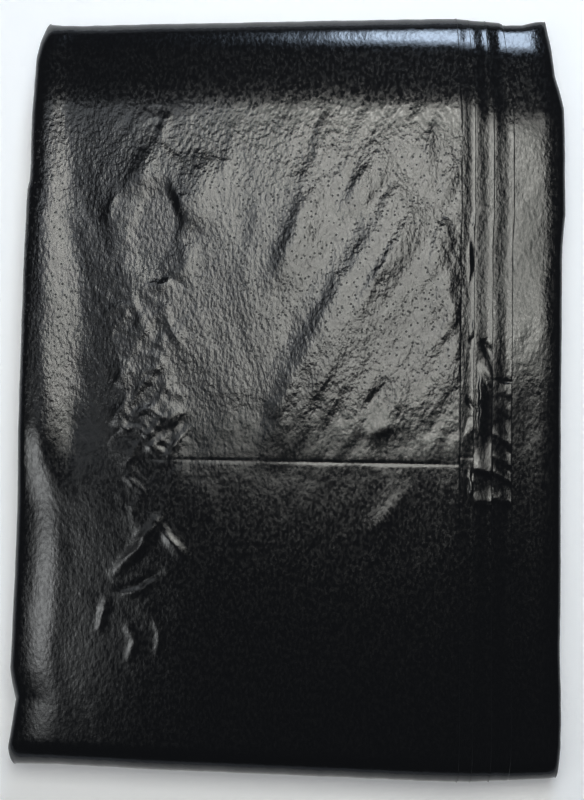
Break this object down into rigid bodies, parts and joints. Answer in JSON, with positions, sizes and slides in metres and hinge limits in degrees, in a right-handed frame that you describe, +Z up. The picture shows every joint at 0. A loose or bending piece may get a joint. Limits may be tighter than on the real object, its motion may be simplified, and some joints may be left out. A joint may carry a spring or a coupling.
{
  "type": "folded refuse sack bundle",
  "caption": "Flat rectangular bundle of black film refuse sacks, folded together in three across and in three along, with stepped side edges.",
  "frame": {"origin": "centre of the bundle's underside, on the surface that it lies on", "axes": "+X across the bundle towards the stepped side edges, +Y along its length towards the fold of the first flap, +Z up"},
  "size_m": [0.267, 0.372, 0.0271],
  "materials": {
    "film": "black polyethylene film, semi-gloss, finely puckered"
  },
  "bodies": {
    "root": {"sack_1": "film", "sack_2": "film", "sack_3": "film", "sack_4": "film"}
  },
  "joints": []
}
